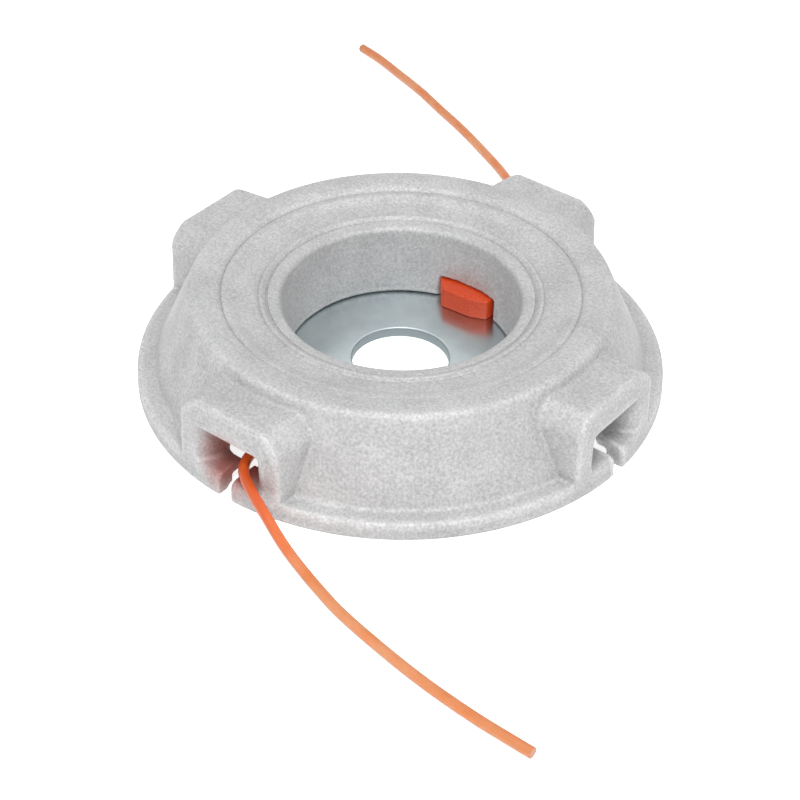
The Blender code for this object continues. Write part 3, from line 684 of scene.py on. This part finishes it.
print("the mouth's cheek has turned by", round(roll(CHEEK_ROLL[1], *CHEEK_ROLL[::-1]), 1), "mm")

# %% Loft the ports
MOUTH_STATIONS = 14
BEYOND_RIM = 5.0

reaches = [BOSS_ROOT, RIM_RADIUS - MOUTH_LENGTH]
for station in range(MOUTH_STATIONS + 1):
    along = math.sin(math.pi / 2.0 * station / MOUTH_STATIONS)
    reaches.append(RIM_RADIUS - CHEEK_ROLL[1] * (1.0 - along))
reaches.append(RIM_RADIUS + BEYOND_RIM)
funnel = bmesh.new()
loops = [port_section(funnel, reach) for reach in reaches]
for near, far in zip(loops, loops[1:]):
    bmesh.ops.bridge_loops(funnel, edges=near + far)
bmesh.ops.holes_fill(funnel, edges=loops[0] + loops[-1], sides=0)
bmesh.ops.recalc_face_normals(funnel, faces=funnel.faces)
ports = to_object(repeat_round(funnel, QUARTERS), "port_cutters")
print("port stations:", len(reaches))

# %% [markdown]
# ## Slots, windows, posts and ribs
# A slot runs through the floor and the rim under each port, wide enough to lift a line out.
# Two windows in the bore's wall hold the locks. Under the roof, posts take the plate's screws,
# and ribs tie them to the shell. All of these are plain shapes with upright sides, so a plan
# that is extruded, or a cone, is all that each one needs.
# %% Slots and windows
SLOT_WIDTH = 3.7
SLOT_TOP = FLOOR_TOP + 3.75
WINDOW_TOP = 9.6
WINDOW_START = 27.4
WINDOW_HALF_WIDTHS = (9.61, 6.6)

slot_start = inner_radius(THROAT_TOP)
slot_end = RIM_RADIUS + PAST
slots = to_object(repeat_round(upright_prism([
    (slot_start, -SLOT_WIDTH / 2.0), (slot_end, -SLOT_WIDTH / 2.0),
    (slot_end, SLOT_WIDTH / 2.0), (slot_start, SLOT_WIDTH / 2.0),
], -PAST, SLOT_TOP), QUARTERS), "slot_cutters")
wide, narrow = WINDOW_HALF_WIDTHS
window_end = HUB_RADIUS + PAST
windows = to_object(repeat_round(upright_prism([
    (WINDOW_START, -wide), (HUB_RADIUS, -narrow), (window_end, -narrow),
    (window_end, narrow), (HUB_RADIUS, narrow), (WINDOW_START, wide),
], -PAST, WINDOW_TOP), LINE_SIDES), "window_cutters")
print("slot width", SLOT_WIDTH, "mm")

# %% Posts and ribs
POST_RADIUS = 5.4
POST_DRAFT = 0.4
POST_LENGTH = 16.5
PILOT_LENGTH = 17.4
PILOT_MIDDLE = 7.2
RIB_FOOT = 12.5
RIB_TOP = 24.2
RIB_HALF_WIDTH = 1.5
RIB_IN_WALL = 1.9

post = bmesh.new()
bmesh.ops.create_cone(
    post, cap_ends=True, segments=48, radius1=POST_RADIUS, radius2=POST_RADIUS + POST_DRAFT,
    depth=POST_LENGTH,
    matrix=Matrix.Translation((POST_CIRCLE, 0.0, FLOOR_UNDER + POST_LENGTH / 2.0)))
posts = to_object(repeat_round(post, DIAGONALS), "screw_posts")
pilot = bmesh.new()
bmesh.ops.create_cone(
    pilot, cap_ends=True, segments=32, radius1=PILOT_RADIUS, radius2=PILOT_RADIUS,
    depth=PILOT_LENGTH, matrix=Matrix.Translation((POST_CIRCLE, 0.0, PILOT_MIDDLE)))
pilots = to_object(repeat_round(pilot, DIAGONALS), "pilot_cutters")
rib = upright_prism([
    (POST_CIRCLE, 21.0), (RING_FOOT[0], 21.6), (inner_radius(RIB_TOP) + RIB_IN_WALL, RIB_TOP),
    (inner_radius(RIB_FOOT) + RIB_IN_WALL, RIB_FOOT), (POST_CIRCLE, RIB_FOOT),
], -RIB_HALF_WIDTH, RIB_HALF_WIDTH)
bmesh.ops.rotate(rib, verts=rib.verts, cent=(0.0, 0.0, 0.0),
                 matrix=Matrix.Rotation(math.pi / 2.0, 3, "X"))
ribs = to_object(repeat_round(rib, DIAGONALS), "stiffening_ribs")
print("posts on a circle of radius", POST_CIRCLE, "mm")

# %% [markdown]
# ## From a drawing to a casting
# The Booleans leave knife edges, and no casting has those. A Bevel modifier trips over the many
# slivers that they leave as well. Rebuilding the surface on a fine grid and smoothing it a few
# times rounds every edge by about half a millimetre instead, inside corners too. A decimation
# then drops the points that flat places don't need.
# %% Join, cut and soften
GRID_MM = 0.42
SMOOTH_PASSES = 2
KEEP_SHARE = 0.26

joins = {bosses: "UNION", ports: "DIFFERENCE", slots: "DIFFERENCE", windows: "DIFFERENCE",
         posts: "UNION", ribs: "UNION", pilots: "DIFFERENCE"}
for other, operation in joins.items():
    combine(body, other, operation)
settle(body, tuple(joins))

# %% Melt the edges
grid = body.modifiers.new("even_grid", "REMESH")
grid.mode = "VOXEL"
grid.voxel_size = 1.0 * GRID_MM * MM
melt = body.modifiers.new("melt_edges", "SMOOTH")
melt.factor = 0.5
melt.iterations = SMOOTH_PASSES
thin = body.modifiers.new("thin_out", "DECIMATE")
thin.ratio = KEEP_SHARE
settle(body, sharp_degrees=180.0)
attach(body, "root")
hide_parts("body_casting")

# %% [markdown]
# ## The dish and its collars
# From the bore outwards the dish has a soft lip, a hairline, a raised bead, a flat band, and a
# slope up to the shoulder. A shallow groove runs round that slope. All of this is turned as one
# thin ring that sits in the body's seat, because a spin keeps such fine lines crisp. It stands a
# hair's breadth proud of the bore's wall, so that the two surfaces never fight for one place.
# %% Spin the dish
FEATHER = 0.03
DISH_STEPS = 288
DISH_SHARP_DEGREES = 60.0

ring = to_object(spun([
    (bore_at_seat - FEATHER, DISH_SEAT - 0.3, 0.0),
    (BORE_TOP[0] - FEATHER, 22.75, 1.6),
    (34.15, 23.30, 0.3),
    (34.50, 22.80, 0.25),
    (34.85, 23.25, 0.3),
    (35.70, 23.95, 0.7),
    (36.40, 23.95, 0.4),
    (36.90, 23.20, 0.5),
    (41.90, 23.85, 0.9),
    (43.20, 24.45, 0.8),
    (GROOVE[0] - 1.50, GROOVE[1] - 0.02, 0.8),
    (GROOVE[0] - 0.15, GROOVE[1], 0.5),
    (GROOVE[0] + 0.15, GROOVE[1] - 0.2, 0.0),
    (GROOVE[0] - 0.05, GROOVE[1] - 1.8, 0.0),
    (42.0, 22.0, 0.0),
    (32.0, 21.4, 0.0),
    (32.0, DISH_SEAT + 1.0, 0.0),
], DISH_STEPS), "cast_dish", DISH_SHARP_DEGREES)
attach(ring, "root")
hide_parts("body_casting")
print("dish:", len(ring.data.polygons), "faces")

# %% [markdown]
# ## The arbor plate
# A round steel plate closes the hub from below, with the arbor's hole in its middle and four
# countersunk screws. It could be a cylinder with a hole, but a spun section gives its edges their
# fillets in the same step. The countersinks are cut with a spun cone on a cylinder.
# %% Plate and countersinks
ARBOR_RADIUS = 12.7
PLATE_FOOT = 0.4
PLATE_TOP = 3.4
PLATE_RADIUS = 47.0
PLATE_STEPS = 216
SINK_RADIUS = 4.9
SINK_FOOT = 0.5
SINK_NECK = 2.8
SINK_STEPS = 48

plate = to_object(spun([
    (ARBOR_RADIUS, PLATE_TOP, 0.5), (PLATE_RADIUS, PLATE_TOP, 0.4),
    (PLATE_RADIUS, PLATE_FOOT, 0.4), (ARBOR_RADIUS, PLATE_FOOT, 0.4),
], PLATE_STEPS), "arbor_plate")
sink = spun([
    (0.0, PLATE_TOP + PAST, 0.0), (PILOT_RADIUS, PLATE_TOP + PAST, 0.0),
    (PILOT_RADIUS, SINK_NECK, 0.0), (SINK_RADIUS, SINK_FOOT, 0.0),
    (SINK_RADIUS, -PAST, 0.0), (0.0, -PAST, 0.0),
], SINK_STEPS, closed=False)
bmesh.ops.translate(sink, verts=sink.verts, vec=(POST_CIRCLE, 0.0, 0.0))
sinks = to_object(repeat_round(sink, DIAGONALS), "countersinks")
combine(plate, sinks, "DIFFERENCE")
settle(plate, (sinks,))
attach(plate, "root")
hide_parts("base_plate")

# %% [markdown]
# ## The line locks
# Each lock is a moulded nylon block that fills its window in the bore's wall. It stands out into
# the bore with a flat front, a short slant at one end and a long one at the other, and it holds
# the line in a blind hole behind. Its sides are upright, so its plan is extruded, and a Bevel
# modifier rounds every edge as a mould does.
# %% Locks
LOCK_FOOT = 3.46
LOCK_TOP = 9.2
LOCK_BACK = 40.3
LOCK_HALF_WIDTH = 6.3
LOCK_ROUND = 0.35
LINE_HEIGHT = 6.6
HOLE_RADIUS = 1.65
HOLE_LENGTH = 7.5
LOCK_NOSE = [
    (28.6, 9.0, 0.0), (24.6, 5.2, 0.4), (25.2, -3.4, 2.0), (27.0, -7.8, 0.8), (29.2, -8.1, 0.0),
]


def make_lock(name, angle, node):
    """One lock, turned to its side of the bore."""
    outline = rounded(LOCK_NOSE + [
        (HUB_RADIUS, -LOCK_HALF_WIDTH, 0.0), (LOCK_BACK, -LOCK_HALF_WIDTH, 0.0),
        (LOCK_BACK, LOCK_HALF_WIDTH, 0.0), (HUB_RADIUS, LOCK_HALF_WIDTH, 0.0),
    ])
    block = to_object(upright_prism(outline, LOCK_FOOT, LOCK_TOP), name)
    soft_edges = block.modifiers.new("mould_round", "BEVEL")
    soft_edges.width = LOCK_ROUND * MM
    soft_edges.segments = 4
    soft_edges.limit_method = "ANGLE"
    soft_edges.angle_limit = math.radians(50.0)
    hole = bmesh.new()
    turn_to_x = Matrix.Rotation(math.pi / 2.0, 4, "Y")
    place = Matrix.Translation((LOCK_BACK + PAST - HOLE_LENGTH / 2.0, 0.0, LINE_HEIGHT))
    bmesh.ops.create_cone(hole, cap_ends=True, segments=32, radius1=HOLE_RADIUS,
                          radius2=HOLE_RADIUS, depth=HOLE_LENGTH, matrix=place @ turn_to_x)
    line_hole = to_object(hole, name + "_hole")
    combine(block, line_hole, "DIFFERENCE")
    settle(block, (line_hole,))
    block.data.transform(Matrix.Rotation(angle, 4, "Z"))
    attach(block, "root")
    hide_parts(node)
    return block


locks = [make_lock("nylon_lock_front", LINE_SIDES[0], "line_lock_front"),
         make_lock("nylon_lock_rear", LINE_SIDES[1], "line_lock_rear")]

# %% [markdown]
# ## Cast aluminium
# The body is pressure-cast aluminium, tumbled with stones after casting. It is metal, but its
# skin is so finely rough that it looks almost like pale chalk, so part of the shader is matte.
# The stones leave bruises about a millimetre wide. They are the pattern that shows most, and a
# bump of a few hundredths of a millimetre goes with them. Slow patches of a centimetre are where
# the stones cut deeper. Painted shade darkens the creases, and a painted highlight makes proud
# edges paler: ambient occlusion finds both in the shape itself. The dish is a thin ring, on which
# the test for an edge finds its underside, so it gets no painted edge highlight. In the two ports
# that hold a line, a painted reddish reflection of the orange line lies on the metal and fades
# with the distance from the throat.
# %% Tumbled casting
BRUISE_MM = 0.7
PIT_MM = 2.4
PATCH_MM = 11.0
# reach of the painted shade in creases
PAINTED_CREASE_SHADE_MM = 4.0
# reach and strength of the painted highlight on proud edges
PAINTED_EDGE_REACH_MM = 2.2
PAINTED_EDGE_GAIN = 1.42
NO_PAINTED_EDGE_GAIN = 1.0
# where and how strongly the painted reflection of the orange line lies in the lined ports
LINE_REFLECTION_SPOT = (0.0, 62.0, 9.0)
LINE_REFLECTION_FROM = 5.75
LINE_REFLECTION_TO = 11.5
LINE_REFLECTION_DEPTH = 0.8
BUMP_MM = 0.05


def make_cast_aluminium(name, edge_gain):
    """As-cast, tumbled aluminium; edge_gain is how much paler its proud edges are painted, a
    painted highlight.
    """
    material, tree, shader = new_material(name)
    place = add_node(tree, "ShaderNodeTexCoord")
    bruises = add_node(tree, "ShaderNodeTexNoise",
                       values={"Scale": 1000.0 / BRUISE_MM, "Detail": 2.5, "Roughness": 0.65},
                       links={"Vector": place.outputs["Object"]})
    patches = add_node(tree, "ShaderNodeTexNoise",
                       values={"Scale": 1000.0 / PATCH_MM, "Detail": 3.0, "Roughness": 0.55},
                       links={"Vector": place.outputs["Object"]})
    pits = add_node(tree, "ShaderNodeTexVoronoi", values={"Scale": 1000.0 / PIT_MM},
                    links={"Vector": place.outputs["Object"]})
    blend = add_node(tree, "ShaderNodeMix", {"data_type": "FLOAT"}, {"Factor": 0.3},
                     {"A": bruises.outputs["Fac"], "B": patches.outputs["Fac"]})
    tone = add_node(tree, "ShaderNodeValToRGB", links={"Fac": blend.outputs["Result"]})
    tone.color_ramp.elements[0].position = 0.36
    tone.color_ramp.elements[0].color = linear("#B6B6B7")
    tone.color_ramp.elements[1].position = 0.64
    tone.color_ramp.elements[1].color = linear("#D4D4D4")
    # only the middle of each pit is dark: a Voronoi cell's centre has distance 0
    pit_depth = add_node(tree, "ShaderNodeMapRange",
                         values={"From Min": 0.05, "From Max": 0.2, "To Min": 0.88, "To Max": 1.0},
                         links={"Value": pits.outputs["Distance"]})
    # painted shade: creases are darkened where a point sees less of the open room
    crease = add_node(tree, "ShaderNodeAmbientOcclusion", {"samples": 8},
                      {"Distance": PAINTED_CREASE_SHADE_MM * MM})
    painted_crease_shade = add_node(
        tree, "ShaderNodeMapRange",
        values={"From Min": 0.45, "From Max": 0.95, "To Min": 0.7, "To Max": 1.0},
        links={"Value": crease.outputs["AO"]})
    # and a painted highlight makes proud edges paler: looking inwards from there, the far side is
    # close by
    edge = add_node(tree, "ShaderNodeAmbientOcclusion",
                    {"samples": 8, "inside": True, "only_local": True}, {"Distance": PAINTED_EDGE_REACH_MM * MM})
    painted_edge_highlight = add_node(
        tree, "ShaderNodeMapRange",
        values={"From Min": 0.55, "From Max": 0.95, "To Min": edge_gain, "To Max": 1.0},
        links={"Value": edge.outputs["AO"]})
    # painted shade in creases times the painted highlight on proud edges
    painted_shade_and_highlight = add_node(tree, "ShaderNodeMath", {"operation": "MULTIPLY"},
                    links={0: painted_crease_shade.outputs["Result"], 1: painted_edge_highlight.outputs["Result"]})
    # the pits' tone times the painted shade and highlight
    depth = add_node(tree, "ShaderNodeMath", {"operation": "MULTIPLY"},
                     links={0: pit_depth.outputs["Result"], 1: painted_shade_and_highlight.outputs["Value"]})
    shade = add_node(tree, "ShaderNodeVectorMath", {"operation": "SCALE"},
                     links={"Vector": tone.outputs["Color"], "Scale": depth.outputs["Value"]})
    # a painted reflection of the orange line in the two lined ports: they lie at plus and minus Y,
    # so it is measured with the size of Y
    mirrored = add_node(tree, "ShaderNodeVectorMath", {"operation": "ABSOLUTE"},
                        links={0: place.outputs["Object"]})
    from_throat = add_node(tree, "ShaderNodeVectorMath", {"operation": "DISTANCE"},
                           {1: [MM * size for size in LINE_REFLECTION_SPOT]},
                           {0: mirrored.outputs["Vector"]})
    painted_line_reflection = add_node(tree, "ShaderNodeMapRange",
                     values={"From Min": LINE_REFLECTION_FROM * MM, "From Max": LINE_REFLECTION_TO * MM,
                             "To Min": LINE_REFLECTION_DEPTH, "To Max": 0.0},
                     links={"Value": from_throat.outputs["Value"]})
    with_line_reflection = add_node(tree, "ShaderNodeMix", {"data_type": "RGBA"},
                       links={"Factor": painted_line_reflection.outputs["Result"]})
    tree.links.new(shade.outputs["Vector"], with_line_reflection.inputs[MIX_A])
    # colour of the painted reflection of the orange line
    with_line_reflection.inputs[MIX_B].default_value = linear("#A8513F")
    tree.links.new(with_line_reflection.outputs[MIX_RESULT], shader.inputs["Base Color"])
    gloss = add_node(tree, "ShaderNodeMapRange", values={"To Min": 0.85, "To Max": 0.6},
                     links={"Value": bruises.outputs["Fac"]})
    tree.links.new(gloss.outputs["Result"], shader.inputs["Roughness"])
    bump = add_node(tree, "ShaderNodeBump", values={"Strength": 0.6, "Distance": BUMP_MM * MM},
                    links={"Height": bruises.outputs["Fac"]})
    tree.links.new(bump.outputs["Normal"], shader.inputs["Normal"])
    shader.inputs["Metallic"].default_value = 0.55
    return material


# the body gets the painted edge highlight, the dish none
dress(body, make_cast_aluminium("tumbled_cast_aluminium", PAINTED_EDGE_GAIN))
dress(ring, make_cast_aluminium("tumbled_cast_aluminium_dish", NO_PAINTED_EDGE_GAIN))

# %% [markdown]
# ## Zinc plating, black steel and moulded nylon
# The plate is mild steel with bright zinc plating: bluish, with soft reflections and a faint
# cloudiness. The screws are black oxide. The locks are injection-moulded nylon, a deep orange
# with a fine satin skin that lets a little light through. A noise between two close tones gives
# each its life. The real satin grain is under a tenth of a millimetre, too fine to show here, so
# it is drawn at half a millimetre.
# %% Zinc plating
CLOUD_MM = 6.0


def make_zinc():
    """Bright zinc plating on rolled steel."""
    material, tree, shader = new_material("bright_zinc_plated_steel")
    place = add_node(tree, "ShaderNodeTexCoord")
    cloud = add_node(tree, "ShaderNodeTexNoise",
                     values={"Scale": 1000.0 / CLOUD_MM, "Detail": 4.0, "Roughness": 0.6},
                     links={"Vector": place.outputs["Object"]})
    tone = add_node(tree, "ShaderNodeValToRGB", links={"Fac": cloud.outputs["Fac"]})
    tone.color_ramp.elements[0].position = 0.3
    tone.color_ramp.elements[0].color = linear("#C2CDD0")
    tone.color_ramp.elements[1].position = 0.7
    tone.color_ramp.elements[1].color = linear("#D0D9DB")
    # the hole's punched wall is torn, so it is rougher, and its darker tone is painted shade
    away_from_hole_wall = add_node(tree, "ShaderNodeMapRange",
                      values={"From Min": (ARBOR_RADIUS + 0.05) * MM,
                              "From Max": (ARBOR_RADIUS + 0.3) * MM},
                      links={"Value": add_axis_distance(tree, place)})
    skin = add_node(tree, "ShaderNodeMix", {"data_type": "RGBA"},
                    links={"Factor": away_from_hole_wall.outputs["Result"]})
    # painted shade: the hole's wall is darker
    skin.inputs[MIX_A].default_value = linear("#8E989B")
    tree.links.new(tone.outputs["Color"], skin.inputs[MIX_B])
    tree.links.new(skin.outputs[MIX_RESULT], shader.inputs["Base Color"])
    gloss = add_node(tree, "ShaderNodeMapRange", values={"To Min": 0.65, "To Max": 0.25},
                     links={"Value": away_from_hole_wall.outputs["Result"]})
    tree.links.new(gloss.outputs["Result"], shader.inputs["Roughness"])
    shader.inputs["Metallic"].default_value = 1.0
    return material


dress(plate, make_zinc())

# %% Screws and locks
SATIN_MM = 0.5
SATIN_BUMP_MM = 0.03


def make_satin(name, dark, light, roughness, metallic):
    """A fine satin skin between two close tones."""
    material, tree, shader = new_material(name)
    place = add_node(tree, "ShaderNodeTexCoord")
    skin = add_node(tree, "ShaderNodeTexNoise",
                    values={"Scale": 1000.0 / SATIN_MM, "Detail": 2.0, "Roughness": 0.5},
                    links={"Vector": place.outputs["Object"]})
    tone = add_node(tree, "ShaderNodeValToRGB", links={"Fac": skin.outputs["Fac"]})
    tone.color_ramp.elements[0].position = 0.35
    tone.color_ramp.elements[0].color = linear(dark)
    tone.color_ramp.elements[1].position = 0.65
    tone.color_ramp.elements[1].color = linear(light)
    tree.links.new(tone.outputs["Color"], shader.inputs["Base Color"])
    bump = add_node(tree, "ShaderNodeBump",
                    values={"Strength": 0.2, "Distance": SATIN_BUMP_MM * MM},
                    links={"Height": skin.outputs["Fac"]})
    tree.links.new(bump.outputs["Normal"], shader.inputs["Normal"])
    shader.inputs["Roughness"].default_value = roughness
    shader.inputs["Metallic"].default_value = metallic
    return material


black_oxide = make_satin("black_oxide_steel", "#1C1C1E", "#29292B", 0.42, 1.0)
lock_nylon = make_satin("moulded_orange_nylon", "#F24A1A", "#FF6228", 0.3, 0.0)
lock_shader = lock_nylon.node_tree.nodes["Principled BSDF"]
lock_shader.inputs["IOR"].default_value = 1.53
lock_shader.inputs["Transmission Weight"].default_value = 0.35
for lock in locks:
    dress(lock, lock_nylon)
for number in range(1, len(DIAGONALS) + 1):
    screw = frame["nodes"][f"plate_screw_{number}"]
    for slot in screw.material_slots:
        slot.material = black_oxide
    print(screw.name, "gets", black_oxide.name)

# %% [markdown]
# ## The last line
# A dressed part keeps its real size; the last line only brings the scene up to date.
# %% Finish
bpy.context.view_layer.update()
